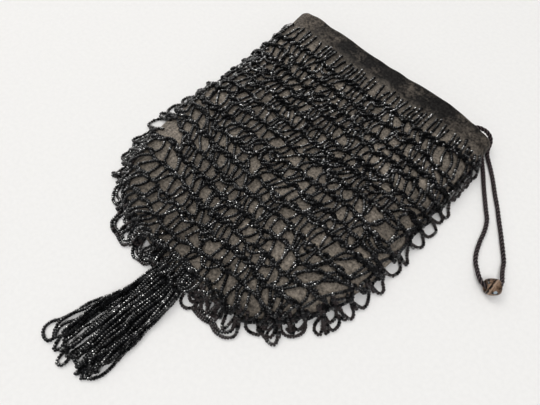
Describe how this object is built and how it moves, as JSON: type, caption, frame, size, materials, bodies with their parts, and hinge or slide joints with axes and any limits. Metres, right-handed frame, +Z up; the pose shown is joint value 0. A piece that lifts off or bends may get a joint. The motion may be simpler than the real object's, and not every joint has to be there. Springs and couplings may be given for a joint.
{
  "type": "beaded drawstring purse",
  "caption": "Flat round-bottomed cloth purse covered in a net of jet glass beads, with bead loops round its edge, a bead tassel, and a drawstring with a slider bead.",
  "frame": {"origin": "on the table under the middle of the purse's outline, the drawstring left out", "axes": "+X across the purse to the drawstring's side, +Y from the tassel to the mouth, +Z up from the table through the beaded front"},
  "size_m": [0.2173, 0.2626, 0.0158],
  "materials": {
    "cloth": "brown-black ribbed silk with a soft sheen",
    "jet_beads": "glossy opaque black glass seed beads",
    "cord": "twisted dark brown silk cord",
    "slider_bead": "glossy copper-brown glass with black and pale patches"
  },
  "bodies": {
    "root": {"pouch": "cloth", "bead_net_front": "jet_beads", "bead_net_back": "jet_beads", "edge_loops_left": "jet_beads", "edge_loops_right": "jet_beads", "tassel": "jet_beads", "drawstring_in_hem": "cord", "drawstring_loop": "cord", "slider_bead": "slider_bead"}
  },
  "joints": []
}
